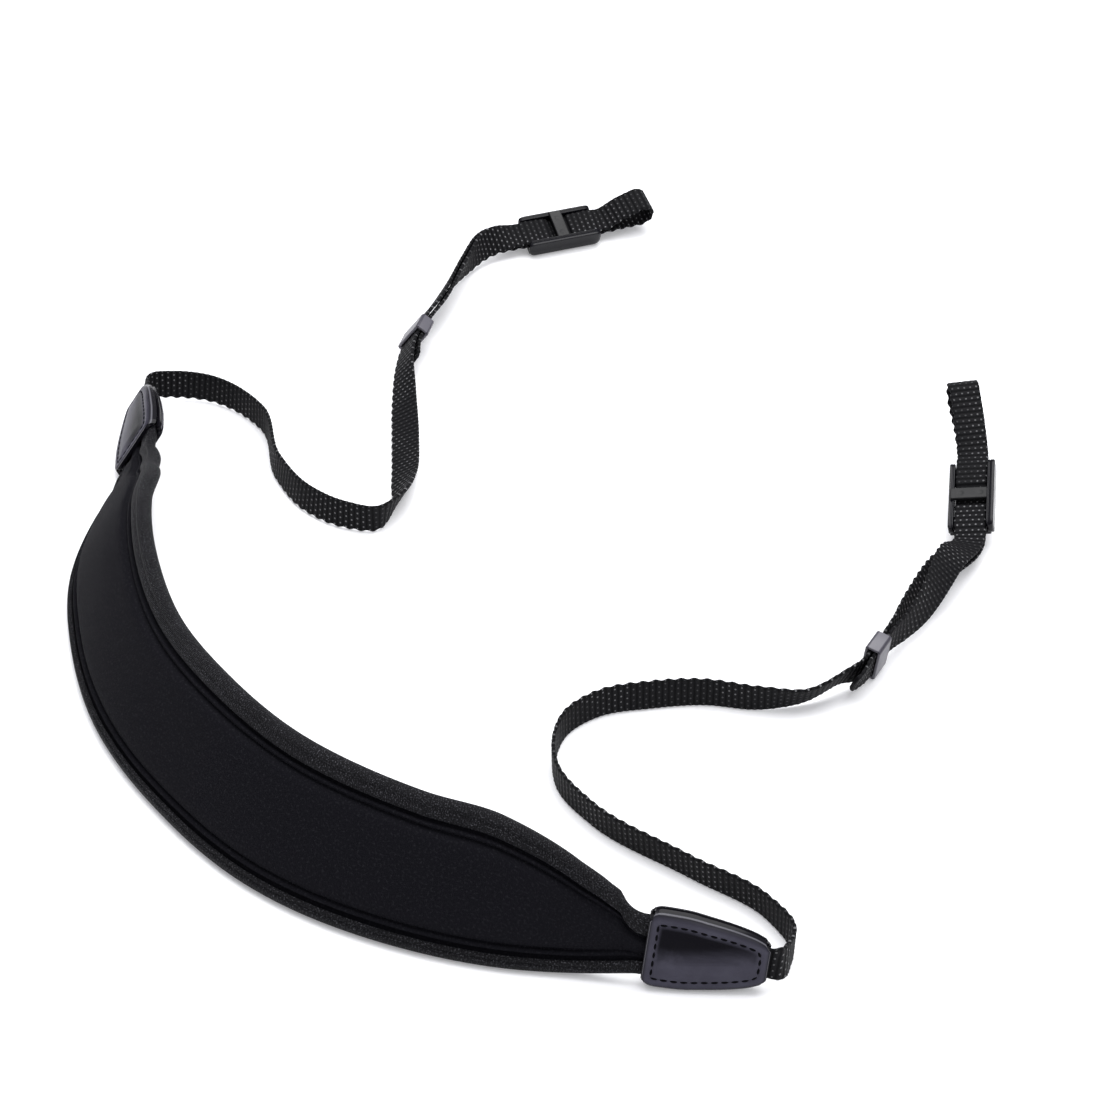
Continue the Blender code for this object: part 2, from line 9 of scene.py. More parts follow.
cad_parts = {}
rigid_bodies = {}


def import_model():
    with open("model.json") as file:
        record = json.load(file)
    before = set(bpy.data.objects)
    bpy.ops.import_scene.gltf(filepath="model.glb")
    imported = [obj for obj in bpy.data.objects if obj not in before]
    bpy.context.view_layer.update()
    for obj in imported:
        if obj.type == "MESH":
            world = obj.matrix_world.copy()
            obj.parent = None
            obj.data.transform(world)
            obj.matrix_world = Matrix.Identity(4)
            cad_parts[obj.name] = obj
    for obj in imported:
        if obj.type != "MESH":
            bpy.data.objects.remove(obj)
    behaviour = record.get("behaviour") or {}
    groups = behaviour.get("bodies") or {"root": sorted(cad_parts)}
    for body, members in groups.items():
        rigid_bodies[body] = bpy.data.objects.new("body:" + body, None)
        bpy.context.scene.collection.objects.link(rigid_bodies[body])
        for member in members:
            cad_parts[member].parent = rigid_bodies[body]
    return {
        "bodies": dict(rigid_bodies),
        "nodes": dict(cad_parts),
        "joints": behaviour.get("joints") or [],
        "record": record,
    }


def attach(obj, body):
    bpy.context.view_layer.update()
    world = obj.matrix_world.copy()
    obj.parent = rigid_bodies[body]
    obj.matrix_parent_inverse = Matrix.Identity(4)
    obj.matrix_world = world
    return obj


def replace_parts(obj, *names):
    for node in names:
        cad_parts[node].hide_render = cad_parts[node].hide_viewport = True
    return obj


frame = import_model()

# A neck strap for a camera, lying open on a pale table. The layout tables are in millimetres and
# degrees. They repeat the solids' own, with a few values refined. "left" and "right" are as seen
# from -Y. Meshes are in metres. A run is read from its tab towards its eye.

scene = bpy.context.scene
mm = 0.001
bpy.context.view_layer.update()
print("frame loaded:", len(frame["nodes"]), "nodes")

layout = {
    "middle": (-3.5, -0.5),        # middle of the strap's box in the tables' frame
    "clearOfTable": 0.2,
    "sample": 0.5,                 # distance between points worked out along a run
}
gap = 0.3                          # between neighbouring pieces
webSize = {
    "width": 11.0,
    "thick": 1.35,
    "layerPart": 0.825,            # from the middle of a pressed pair to each layer's middle
    "eyeRadius": 4.6,
    "wave": 0.5,                   # rise over a buckle's end bar
    "inTab": 20.5,                 # how far in from the tab's tip it starts
    "straight": 1.6,               # how far it runs on from the tab before it bends
}
keeperSize = {"length": 8.6, "wall": 1.0, "corner": 1.1}
buckleSize = {
    "length": 29.0,
    "railHeight": 6.2,
    "railThick": 2.1,
    "railCorner": 2.6,
    "endBar": 2.6,
    "middleBar": 4.8,
    "barThick": 1.5,
    "dip": 1.9,                    # of the webbing under the middle bar
}
tapeSize = {"depth": 6.6, "halfPressed": 1.7, "halfFull": 2.9, "wall": 1.0}
tabSize = {"wall": 1.2, "seam": 0.2, "padInTab": 13.0}   # seam: half the gap between the rims

# x, y of the middle of the pad's lower bound edge, lift, lean, width, full, held
padRows = [
    (-150.3, 54.2, 2.4, 33, 20.5, 0.0, 1),
    (-149.3, 40.7, 3.0, 33, 21.0, 0.1, 0),
    (-150.2, 34.0, 2.0, 35, 24.4, 0.55, 0),
    (-151.2, 26.0, 1.0, 37, 29.4, 0.85, 0),
    (-155.2, 13.1, 0.0, 37.5, 39.0, 1.0, 0),
    (-160.1, -21.3, 0.0, 35.5, 47.8, 1.0, 0),
    (-155.9, -57.8, 0.0, 34, 49.6, 1.0, 0),
    (-142.8, -102.1, 0.0, 34, 50.0, 1.0, 0),
    (-123.3, -136.3, 0.0, 31, 51.0, 1.0, 0),
    (-90.5, -174.7, 0.0, 29, 51.0, 1.0, 0),
    (-45.0, -201.7, 0.0, 25, 49.3, 1.0, 0),
    (-15.0, -210.8, 0.0, 22, 46.8, 1.0, 0),
    (8.0, -214.0, 0.8, 17, 37.2, 0.8, 0),
    (18.0, -216.0, 2.4, 12, 31.3, 0.4, 0),
    (22.4, -216.8, 3.1, 11, 27.0, 0.2, 0),
    (26.4, -217.8, 3.7, 10, 20.5, 0.0, 1),
    (39.9, -219.2, 2.2, 10, 20.5, 0.0, 0),
]

# a tab's outline from its mouth over the pad to its tip: distance, half width
tabOutline = [
    (0.0, 8.8), (0.4, 10.0), (1.2, 11.1), (2.3, 11.8), (4.0, 12.2), (10.0, 12.1), (13.3, 11.8),
    (17.0, 11.2), (22.0, 10.4), (27.0, 9.4), (31.0, 8.3), (33.6, 7.2), (35.2, 6.2),
    (36.2, 5.1), (36.6, 4.1),
]
tabLength = tabOutline[-1][0]


def straightRows(spot, places):        # rows through a keeper or a buckle
    rows = []
    for distance, wave in places:
        x = spot["x"] + distance * math.cos(math.radians(spot["heading"]))
        y = spot["y"] + distance * math.sin(math.radians(spot["heading"]))
        lift = spot["lift"] + distance * math.tan(math.radians(spot["slope"]))
        rows.append((x, y, lift, spot["lean"], webSize["layerPart"], wave, 1))
    rows[-1] = rows[-1][:-1] + (0,)
    return rows


def keeperRows(spot):
    reach = keeperSize["length"] / 2 + 1.0
    return straightRows(spot, [(-reach, 0), (reach, 0)])


def buckleRows(spot):
    wave = webSize["wave"]
    endBar = (buckleSize["length"] - buckleSize["endBar"]) / 2
    under = buckleSize["middleBar"] / 2
    half = [(buckleSize["length"] / 2 + 2.0, 0), (endBar, wave), (under + 3, 0.2 * wave),
            (under, -buckleSize["dip"])]
    return straightRows(spot, [(-distance, wave) for distance, wave in half] + half[::-1])


# Each row of a free stretch: x, y of the webbing's middle, lift, lean, part. Both tails end at the
# last row of toKeeper.
sides = {
    "left": {
        "end": 0,
        "outward": -1,
        "keeper": {"x": -49.8, "y": 126.5, "heading": 76, "lift": 1.7, "slope": 0, "lean": -36},
        "buckle": {"x": 3.5, "y": 204.0, "heading": 20, "lift": 2.6, "slope": 0, "lean": 68},
        "toKeeper": [
            (-147.3, 86.5, 2.2, -12, 0),
            (-145.0, 91.4, 1.7, 2, 0),
            (-137.0, 93.2, 1.2, 8, 0),
            (-125.9, 92.4, 0.5, 8, 0),
            (-104.1, 73.8, 0, 3, 0),
            (-96.0, 42.0, 0, 7, 0),
            (-84.1, 22.3, 0, 10, 0),
            (-70.9, 13.0, 0, 6, 0),
            (-60.0, 10.9, 0, -4, 0),
            (-53.2, 21.5, 0, -26, 0),
            (-51.5, 38.6, 0, -58, 0),
            (-51.9, 63.1, 0, -66, 0),
            (-52.9, 89.0, 0.3, -54, 0.4),
            (-52.4, 108.1, 0.8, -38, 1.4),
        ],
        "toBuckle": [
            (-42.0, 149.0, 1.4, -34, 0.86),
            (-34.0, 172.5, 1.6, -16, 0.86),
            (-24.5, 190.5, 1.8, 22, 0.86),
        ],
        "toEye": [
            (28.0, 213.0, 2.4, 69, 3.3),
            (34.0, 215.2, 2.4, 70, webSize["eyeRadius"]),
        ],
        "waved": -1,               # the edge that is woven wavy: -1 lower, 1 upper
    },
    "right": {
        "end": -1,
        "outward": 1,
        "keeper": {"x": 106.8, "y": -69.8, "heading": 60, "lift": 2.2, "slope": 6, "lean": -10},
        "buckle": {"x": 146.0, "y": 16.0, "heading": 84, "lift": 10.6, "slope": 16, "lean": 100},
        "toKeeper": [
            (71.5, -211.3, 0.8, -2, 0),
            (72.5, -206.2, 0.4, -3, 0),
            (65.5, -190.7, 0, 4, 0),
            (43.1, -172.4, 0, 8, 0),
            (13.2, -147.1, 0, 5, 0),
            (2.4, -128.8, 0, 2, 0),
            (1.6, -112.7, 0, 1, 0),
            (5.3, -101.6, 0, 1, 0),
            (15.8, -92.0, 0, 3, 0),
            (32.5, -87.6, 0, 6, 0),
            (50.1, -86.1, 0, 1, 0),
            (68.1, -89.3, 0, -8, 0),
            (82.5, -88.6, 0.2, -30, 0.3),
            (97.0, -82.3, 0.9, -28, 2.1),
        ],
        "toBuckle": [
            (122.5, -45.0, 3.6, 20, 2.6),
            (134.0, -22.0, 5.4, 60, 2.2),
        ],
        "toEye": [
            (147.4, 43.0, 18.2, 98, 2.4),
            (146.0, 56.0, 21.6, 96, webSize["eyeRadius"]),
        ],
        "waved": 1,
    },
}


# A cubic through the rows, a point every step; a held stretch stays straight
def curveThrough(rows, step):
    values = np.array([row[:-1] for row in rows], dtype=float)
    chords = np.linalg.norm(np.diff(values[:, :2], axis=0), axis=1)
    rates = np.diff(values, axis=0) / chords[:, None]
    slopes = np.vstack([rates[:1], rates])
    for i in range(1, len(rows) - 1):
        before, after = chords[i - 1], chords[i]
        slopes[i] = (rates[i - 1] * after + rates[i] * before) / (before + after)
    for i in range(len(chords)):
        if rows[i][-1]:
            for end in (i, i + 1):
                slopes[end, :3] = rates[i, :3]
                slopes[end, 3:] = 0
    samples = []
    for i, chord in enumerate(chords):
        count = max(2, math.ceil(chord / step))
        t = np.arange(count)[:, None] / count
        samples.append(
            (2 * t**3 - 3 * t**2 + 1) * values[i]
            + (t**3 - 2 * t**2 + t) * chord * slopes[i]
            + (3 * t**2 - 2 * t**3) * values[i + 1]
            + (t**3 - t**2) * chord * slopes[i + 1]
        )
    return np.vstack(samples + [values[-1:]])


def unit(vectors):
    return vectors / np.linalg.norm(vectors, axis=-1, keepdims=True)


def dot(a, b):
    return np.sum(a * b, axis=-1, keepdims=True)


# Directions along a run, across it (upper edge) and out of it (right-hand face)
def framesOf(points, lean):
    along = unit(np.gradient(points, axis=0))
    vertical = np.array([0.0, 0.0, 1.0])
    left = unit(np.cross(vertical, along))
    angle = np.radians(lean)[:, None]
    up = np.cos(angle) * vertical + np.sin(angle) * left
    up = unit(up - dot(up, along) * along)
    return along, up, np.cross(along, up)


def padRun():
    x, y, lift, lean, width, full = curveThrough(padRows, layout["sample"]).T
    edge = tapeSize["halfPressed"] + (tapeSize["halfFull"] - tapeSize["halfPressed"]) * full
    foot = np.column_stack([x, y, lift + edge + layout["clearOfTable"]])
    along, up, out = framesOf(foot, lean)
    centre = foot + up * (width / 2 - edge)[:, None]
    return {"centre": centre, "along": along, "up": up, "out": out,
            "width": width, "full": full, "edge": edge}


def tabFrame(run, side):
    end = side["end"]
    along = run["along"][end] * side["outward"]
    mouth = run["centre"][end] - along * tabSize["padInTab"]
    return mouth, along, run["up"][end], run["out"][end]


def middleHeight(lean, part):      # of webbing over what its lower edge rests on
    angle = np.radians(lean)
    return webSize["width"] / 2 * np.cos(angle) + (webSize["thick"] / 2 + part) * np.abs(np.sin(angle))


def webbingRun(side, tab):
    mouth, along, up, _ = tab
    left = np.cross((0.0, 0.0, 1.0), along)
    lean = math.degrees(math.atan2(np.dot(up, left), up[2]))
    rows = []
    for distance in (tabLength - webSize["inTab"], tabLength + webSize["straight"]):
        x, y, z = mouth + along * distance
        rows.append((x, y, z - middleHeight(lean, 0), lean, 0, 0, 1))
    rows[-1] = rows[-1][:-1] + (0,)
    free = {key: [row + (0, 0) for row in side[key]] for key in ("toKeeper", "toBuckle", "toEye")}
    rows += free["toKeeper"] + keeperRows(side["keeper"])
    rows += free["toBuckle"] + buckleRows(side["buckle"]) + free["toEye"]
    x, y, lift, lean, part, wave = curveThrough(rows, layout["sample"]).T
    line = np.column_stack([x, y, lift + middleHeight(lean, part) + layout["clearOfTable"]])
    along, up, out = framesOf(line, lean)
    return {"centre": line + wave[:, None] * out, "along": along, "up": up, "out": out, "part": part}


def nearest(run, x, y):
    return int(np.argmin(np.hypot(run["centre"][:, 0] - x, run["centre"][:, 1] - y)))


def placed(points):                # table millimetres to metres about the middle of the strap
    return (np.asarray(points) - np.array([*layout["middle"], 0.0])) * mm


def lengths(points):
    return np.concatenate([[0], np.cumsum(np.linalg.norm(np.diff(points, axis=0), axis=1))])


def sampledAt(places, at, values):
    return np.stack([np.interp(places, at, values[:, k]) for k in range(values.shape[1])], axis=1)


# A smooth closed or open line through control points, so many points to a span
def rounded(points, perSpan, closed=True):
    p = np.asarray(points, dtype=float)
    if closed:
        p = np.vstack([p[-1:], p, p[:2]])
    else:
        p = np.vstack([2 * p[:1] - p[1:2], p, 2 * p[-1:] - p[-2:-1]])
    t = np.arange(perSpan)[:, None] / perSpan
    line = []
    for a, b, c, d in zip(p, p[1:], p[2:], p[3:]):
        line.append(0.5 * (2 * b + (c - a) * t + (2 * a - 5 * b + 4 * c - d) * t**2
                           + (3 * b - a - 3 * c + d) * t**3))
    return np.vstack(line if closed else line + [p[-2:-1]])


def smooth(value):
    value = np.clip(value, 0, 1)
    return value * value * (3 - 2 * value)


def smoothNoise(x, y, seed):       # slow waves from -1 to 1 for folds and unevenness
    total = np.zeros_like(x + y)
    for k in range(1, 5):
        angle = seed * 1.7 + k * 2.4
        total += np.sin(x * math.cos(angle) * k**0.7 + y * math.sin(angle) * k**0.7 + seed * k) / k
    return total / 1.8


# ---- meshes

def meshOf(name, bm):              # ends the edit mesh
    mesh = bpy.data.meshes.new(name)
    bm.to_mesh(mesh)
    bm.free()
    return mesh


def walled(piece, thickness, offset):
    wall = piece.modifiers.new("wall", "SOLIDIFY")
    wall.thickness = thickness * mm
    wall.offset = offset
    wall.use_even_offset = True


def softRims(piece, width):
    rim = piece.modifiers.new("rim", "BEVEL")
    rim.width = width * mm
    rim.segments = 3
    rim.limit_method = "ANGLE"
    rim.angle_limit = math.radians(50)


def finished(name, mesh, material):
    mesh.materials.append(material)
    mesh.shade_smooth()
    piece = bpy.data.objects.new(name, mesh)
    scene.collection.objects.link(piece)
    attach(piece, "root")
    return piece


# A grid moved onto rows of points, with its map in millimetres. It is joined round and capped,
# or else it is turned to face one way.
def skin(name, points, flat, facing=None):
    points = np.asarray(points)
    rows, columns = points.shape[:2]
    bm = bmesh.new()
    bmesh.ops.create_grid(bm, x_segments=columns - 1, y_segments=rows - 1, size=0.5)
    mesh = meshOf(name, bm)
    grid = np.empty(len(mesh.vertices) * 3)
    mesh.vertices.foreach_get("co", grid)
    grid = grid.reshape(-1, 3)
    column = np.rint((grid[:, 0] + 0.5) * (columns - 1)).astype(int)
    row = np.rint((grid[:, 1] + 0.5) * (rows - 1)).astype(int)
    mesh.vertices.foreach_set("co", placed(points[row, column]).ravel())
    corner = np.empty(len(mesh.loops), dtype=int)
    mesh.loops.foreach_get("vertex_index", corner)
    layer = mesh.uv_layers.new(name="flat")
    layer.data.foreach_set("uv", np.asarray(flat)[row[corner], column[corner]].ravel())
    bm = bmesh.new()
    bm.from_mesh(mesh)
    if facing is None:
        bmesh.ops.remove_doubles(bm, verts=bm.verts, dist=1e-6)
        bmesh.ops.holes_fill(bm, edges=[e for e in bm.edges if e.is_boundary], sides=0)
        bmesh.ops.recalc_face_normals(bm, faces=bm.faces)
    elif sum(face.normal.dot(Vector(facing)) for face in bm.faces) < 0:
        bmesh.ops.reverse_faces(bm, faces=bm.faces)
    bm.to_mesh(mesh)
    bm.free()
    return mesh


# ---- node helpers and shared effects

def socketOf(tree, value, socket):
    if isinstance(value, (int, float, tuple)):
        socket.default_value = value
    else:
        tree.links.new(value, socket)


def calc(tree, operation, *values):
    node = tree.nodes.new("ShaderNodeMath")
    node.operation = operation
    for value, socket in zip(values, node.inputs):
        socketOf(tree, value, socket)
    return node.outputs[0]


def blend(tree, factor, first, second):
    node = tree.nodes.new("ShaderNodeMix")
    node.data_type = "RGBA"
    socketOf(tree, factor, node.inputs["Factor"])
    socketOf(tree, first, node.inputs[6])
    socketOf(tree, second, node.inputs[7])
    return node.outputs[2]


def fade(tree, value, fromMin, fromMax, toMin=0.0, toMax=1.0):
    node = tree.nodes.new("ShaderNodeMapRange")
    node.interpolation_type = "SMOOTHSTEP"
    for place, number in zip(range(5), (value, fromMin, fromMax, toMin, toMax)):
        socketOf(tree, number, node.inputs[place])
    return node.outputs[0]


def noise(tree, vector, scale, detail=3.0):
    node = tree.nodes.new("ShaderNodeTexNoise")
    tree.links.new(vector, node.inputs["Vector"])
    node.inputs["Scale"].default_value = scale
    node.inputs["Detail"].default_value = detail
    node.inputs["Roughness"].default_value = 0.55
    return node.outputs["Fac"]


def partsOf(tree, vector):         # its x, y and z
    node = tree.nodes.new("ShaderNodeSeparateXYZ")
    tree.links.new(vector, node.inputs[0])
    return node.outputs


def newGroup(name, vector, numbers, results):
    group = bpy.data.node_groups.new(name, "ShaderNodeTree")
    group.interface.new_socket(vector, in_out="INPUT", socket_type="NodeSocketVector")
    for labels, way in ((numbers, "INPUT"), (results, "OUTPUT")):
        for label in labels:
            group.interface.new_socket(label, in_out=way, socket_type="NodeSocketFloat")
    return group, group.nodes.new("NodeGroupInput").outputs, group.nodes.new("NodeGroupOutput").inputs


def useGroup(tree, group, **values):
    node = tree.nodes.new("ShaderNodeGroup")
    node.node_tree = group
    for label, value in values.items():
        socketOf(tree, value, node.inputs[label])
    return node.outputs


# Threads crossing at right angles and light flecks, on a map in millimetres
def makeKnitGroup():
    group, given, made = newGroup("fineKnit", "Map", ("Wale", "Course", "Uneven"), ("Height", "Fleck"))
    along, across, _ = partsOf(group, given["Map"])
    wobble = calc(group, "MULTIPLY", noise(group, given["Map"], 0.6), given["Uneven"])
    u = calc(group, "DIVIDE", calc(group, "ADD", along, wobble), given["Wale"])
    v = calc(group, "DIVIDE", calc(group, "ADD", across, wobble), given["Course"])
    wale = calc(group, "ABSOLUTE", calc(group, "SINE", calc(group, "MULTIPLY", u, math.pi)))
    half = calc(group, "MULTIPLY", calc(group, "FLOOR", u), 0.5)
    course = calc(group, "ABSOLUTE",
                  calc(group, "SINE", calc(group, "MULTIPLY", calc(group, "ADD", v, half), math.pi)))
    height = calc(group, "MULTIPLY", wale, calc(group, "MULTIPLY_ADD", course, 0.6, 0.4))
    group.links.new(height, made["Height"])
    specks = noise(group, given["Map"], 2.0)
    patches = fade(group, noise(group, given["Map"], 0.09), 0.36, 0.6, 0.6, 1.0)
    fleck = calc(group, "MULTIPLY", fade(group, specks, 0.52, 0.7), patches)
    group.links.new(fleck, made["Fleck"])
    return group


# Fine pits and pores, on Object coordinates
def makeGrainGroup():
    group, given, made = newGroup("fineGrain", "Place", ("Size",), ("Height", "Cloud"))
    node = group.nodes.new("ShaderNodeTexVoronoi")
    node.feature = "SMOOTH_F1"
    group.links.new(given["Place"], node.inputs["Vector"])
    group.links.new(calc(group, "DIVIDE", 1.0 / mm, given["Size"]), node.inputs["Scale"])
    fine = noise(group, given["Place"], 2600.0)
    group.links.new(calc(group, "MULTIPLY_ADD", fine, 0.4, node.outputs["Distance"]), made["Height"])
    group.links.new(noise(group, given["Place"], 90.0, 4.0), made["Cloud"])
    return group


knitGroup = makeKnitGroup()
grainGroup = makeGrainGroup()


def newMaterial(name, **settings):
    material = bpy.data.materials.new(name)
    material.use_nodes = True
    tree = material.node_tree
    shader = tree.nodes["Principled BSDF"]
    for label, value in settings.items():
        shader.inputs[label.replace("_", " ")].default_value = value
    return material, tree, shader


def mapOf(tree):                   # the piece's own flat map, in millimetres
    return tree.nodes.new("ShaderNodeTexCoord").outputs["UV"]


def placeOf(tree):
    return tree.nodes.new("ShaderNodeTexCoord").outputs["Object"]


def bump(tree, shader, height, distance, strength=1.0):
    node = tree.nodes.new("ShaderNodeBump")
    node.inputs["Distance"].default_value = distance * mm
    node.inputs["Strength"].default_value = strength
    tree.links.new(height, node.inputs["Height"])
    tree.links.new(node.outputs["Normal"], shader.inputs["Normal"])


# ---- webbing

webLook = {
    "pitch": 2.1,                  # of the woven columns along, and of the dots across
    "rib": 0.16,                   # how far a column stands out
    "wave": 0.6,                   # how far the wavy edge swings
    "step": 0.35,                  # of the mesh along
    "across": 20,                  # faces from edge to edge
    "edge": 0.45,                  # radius of its rounded edges
    "plainWave": 0.12,             # of the straight edge
    "calm": (13.0, 4.0),           # no wave so near a buckle's middle, and over what it grows
    "tip": 3.0,                    # over which the tail's end narrows
    "dotSize": (0.16, 0.18),       # radii along and across, in pitches
    "backMap": 60,                 # shift across of the map on the face turned in
    # dark: painted shade in the grooves between the woven columns
    "dark": (0.0028, 0.0028, 0.0034, 1),
    "yarn": (0.0088, 0.0088, 0.0098, 1),
    # dot: lighter yarn floats with painted glints on their tops
    "dot": (0.21, 0.21, 0.215, 1),
}


def makeWebbingMaterial():
    material, tree, shader = newMaterial("webbingNylon", Roughness=0.6, Specular_IOR_Level=0.06)
    flat = mapOf(tree)
    along, across, _ = partsOf(tree, flat)
    pitch = webLook["pitch"]
    wobble = calc(tree, "MULTIPLY_ADD", noise(tree, flat, 0.35), 0.5, -0.25)
    u = calc(tree, "DIVIDE", calc(tree, "ADD", along, wobble), pitch)
    column = calc(tree, "FLOOR", u)
    shift = calc(tree, "MULTIPLY", calc(tree, "MODULO", column, 2.0), 0.5)
    v = calc(tree, "ADD", calc(tree, "DIVIDE", across, pitch), shift)
    du = calc(tree, "SUBTRACT", calc(tree, "SUBTRACT", u, column), 0.5)
    dv = calc(tree, "SUBTRACT", calc(tree, "SUBTRACT", v, calc(tree, "FLOOR", v)), 0.5)
    squares = [calc(tree, "POWER", calc(tree, "DIVIDE", offset, radius), 2.0)
               for offset, radius in zip((du, dv), webLook["dotSize"])]
    reach = calc(tree, "SQRT", calc(tree, "ADD", *squares))
    dotMask = fade(tree, reach, 0.55, 1.15, 1.0, 0.0)
    # Painted shade in the grooves between the woven columns
    groove = fade(tree, calc(tree, "ABSOLUTE", du), 0.2, 0.44, 1.0, 0.0)
    yarn = calc(tree, "ABSOLUTE", calc(tree, "SINE", calc(tree, "MULTIPLY",
                calc(tree, "ADD", along, calc(tree, "MULTIPLY", across, 0.8)), 9.0)))
    fuzz = noise(tree, flat, 3.0)
    ground = blend(tree, groove, webLook["dark"], webLook["yarn"])
    faded = fade(tree, noise(tree, flat, 0.045, 1.0), 0.42, 0.6, 0.25, 1.0)
    # The dots are lighter yarn floats with painted glints on their tops, faded at random
    bright = calc(tree, "MULTIPLY", calc(tree, "MULTIPLY", dotMask, faded),
                  calc(tree, "MULTIPLY_ADD", fuzz, 1.6, -0.1))
    tree.links.new(blend(tree, bright, ground, webLook["dot"]), shader.inputs["Base Color"])
    height = calc(tree, "ADD", calc(tree, "MULTIPLY", dotMask, 0.7),
                  calc(tree, "ADD", calc(tree, "MULTIPLY", groove, 0.6), calc(tree, "MULTIPLY", yarn, 0.2)))
    bump(tree, shader, height, 0.16)
    return material


def webbingPiece(name, side, run, material):
    half = webSize["width"] / 2
    thick = webSize["thick"] / 2
    part = run["part"][:, None]
    shift = run["out"] * part
    tip = nearest(run, *side["toKeeper"][-1][:2])
    turn = np.linspace(0, math.pi, 32)[1:-1, None]
    outwards = run["along"][-1] * np.sin(turn) - run["out"][-1] * np.cos(turn)
    middle = np.vstack([
        run["centre"] - shift,
        run["centre"][-1] + outwards * run["part"][-1],
        (run["centre"] + shift)[:tip - 1:-1],
    ])
    face = np.vstack([-run["out"], outwards, run["out"][:tip - 1:-1]])
    wide = np.vstack([run["up"], np.repeat(run["up"][-1:], len(turn), axis=0), run["up"][:tip - 1:-1]])
    at = lengths(middle)
    count = round(at[-1] / webLook["step"])
    place = np.linspace(0, at[-1], count + 1)
    middle = sampledAt(place, at, middle)
    along = unit(np.gradient(middle, axis=0))
    wide = unit(sampledAt(place, at, wide))
    wide = unit(wide - dot(wide, along) * along)
    face = sampledAt(place, at, face)
    face = np.cross(along, wide) * np.sign(dot(np.cross(along, wide), face))

    pitch = webLook["pitch"]
    phase = place / pitch
    column = 0.5 - 0.5 * np.cos(2 * math.pi * phase)
    swing = 0.5 - 0.5 * np.cos(math.pi * phase)
    toTip = (at[-1] - place) / webLook["tip"]
    narrow = np.sqrt(np.clip(1 - (1 - np.clip(toTip, 0, 1))**2.2, 0.12, 1))
    buckle = run["centre"][nearest(run, side["buckle"]["x"], side["buckle"]["y"])]
    calm, grows = webLook["calm"]
    free = smooth((np.linalg.norm(middle - buckle, axis=1) - calm) / grows)
    halfWaved = (half - webLook["wave"] * free * (1 - swing)) * narrow
    halfPlain = (half - webLook["plainWave"] * (1 - column)) * narrow
    # share of the half width and face, or beyond an edge: 2 or -2 and the angle round it
    shares = np.linspace(-1, 1, webLook["across"] + 1)
    rim = np.radians((60, 20, -20, -60))
    section = [(s, 1.0) for s in shares] + [(2.0, a) for a in rim]
    section += [(s, -1.0) for s in shares[::-1]] + [(-2.0, a) for a in -rim]
    section.append(section[0])
    points = np.empty((len(place), len(section), 3))
    flat = np.empty((len(place), len(section), 2))
    flat[:, :, 0] = place[:, None]
    inset = webLook["edge"]
    upperHalf, lowerHalf = (halfWaved, halfPlain) if side["waved"] > 0 else (halfPlain, halfWaved)
    for k, (share, level) in enumerate(section):
        if abs(share) <= 1:
            reach = np.where(share > 0, upperHalf, lowerHalf) - inset
            across = share * reach
            bead = 0.75 + 0.25 * np.cos(2 * math.pi * (across / pitch + 0.5 * np.floor(phase % 2)))
            height = (thick - webLook["rib"] * (1 - column * bead)) * level
            flat[:, k, 1] = across + (0 if level > 0 else webLook["backMap"])
        else:
            reach = (upperHalf if share > 0 else lowerHalf) - inset
            across = (reach + inset * math.cos(level)) * np.sign(share)
            height = (thick - webLook["rib"]) * math.sin(level)
            flat[:, k, 1] = across
        points[:, k] = middle + wide * np.reshape(across, (-1, 1)) + face * np.reshape(height, (-1, 1))
    piece = finished(name, skin(name, points, flat), material)
    return piece, at[-1]


# ---- neck pad and its tapes

padLook = {
    "step": 1.3,                   # of the mesh along
    "perSpan": 5,                  # points between two of the section's
    "groove": 1.0,                 # between a tape and the ridge
    "ridge": 1.05,                 # its height
    "front": 4.6,                  # half thickness of the panel's middle, outer side
    "back": 3.1,
    "uneven": 0.35,
    # share of the length, depth of the lower tape as far as it shows in front
    "lowerTape": [(0.0, 3.4), (0.3, 3.7), (0.6, 4.5), (1.0, 4.7)],
    "folds": (21.0, 16.0, 9.0),    # length of the slow waves out and across, and their width
    "neoprene": (0.0064, 0.0062, 0.0082, 1),
}
tapeLook = {
    "step": 1.1,
    "perSpan": 4,
    "crease": 0.4,                 # depth of the long crease between hem and edge
    "uneven": 0.2,
    "rib": 0.85,
    "cloth": (0.0062, 0.006, 0.0078, 1),
    # groove: painted shade between the knit's threads
    "groove": (0.001, 0.001, 0.0013, 1),
    "fleck": (0.075, 0.075, 0.083, 1),
}


# Both sections are lists of (across, out), each an array with a value for every station
def padHalf(half, edge, full, depth):
    flange = edge - tapeSize["wall"] - gap
    lip = flange - 0.5
    bend = half - edge
    panel = half - depth - gap
    tight = np.minimum(1.0, panel / 9.0)
    groove = padLook["groove"] * tight
    low = lip + 0.5 * full
    ridge = padLook["ridge"] * (0.4 + 0.6 * full)
    peak = edge - 0.3 + (padLook["front"] - 2.6) * full
    under = half - tapeSize["depth"] - gap
    front = [
        (bend + flange * 0.77, flange * 0.64),
        (bend, flange),
        (np.minimum(panel + 1.0, bend - 0.15), lip),
        (panel - 0.1 * tight, lip - 0.15),
        (panel - groove, lip - 0.1),
        (panel - groove - 0.35 * tight, low + 0.75 * ridge),
        (panel - groove - 0.95 * tight, low + ridge),
        (panel - groove - 1.6 * tight, low + 0.6 * ridge),
        (panel - groove - 2.1 * tight, low - 0.1 * ridge),
        (panel - groove - 3.1 * tight, low + (peak - low) * 0.36),
        (np.minimum(panel * 0.68, panel - 5.2 * tight), low + (peak - low) * 0.76),
        (panel * 0.34, low + (peak - low) * 0.96),
    ]
    back = [
        (bend + flange * 0.77, -flange * 0.64),
        (bend, -flange),
        (under + 0.6, -lip),
        (under, -lip),
        (under - 0.7 * tight, -lip - 0.6 * full),
        (under * 0.55, -(edge - 0.6 + (padLook["back"] - 2.3) * full) * 0.94),
    ]
    return front, back, (bend + flange, np.zeros_like(half)), peak


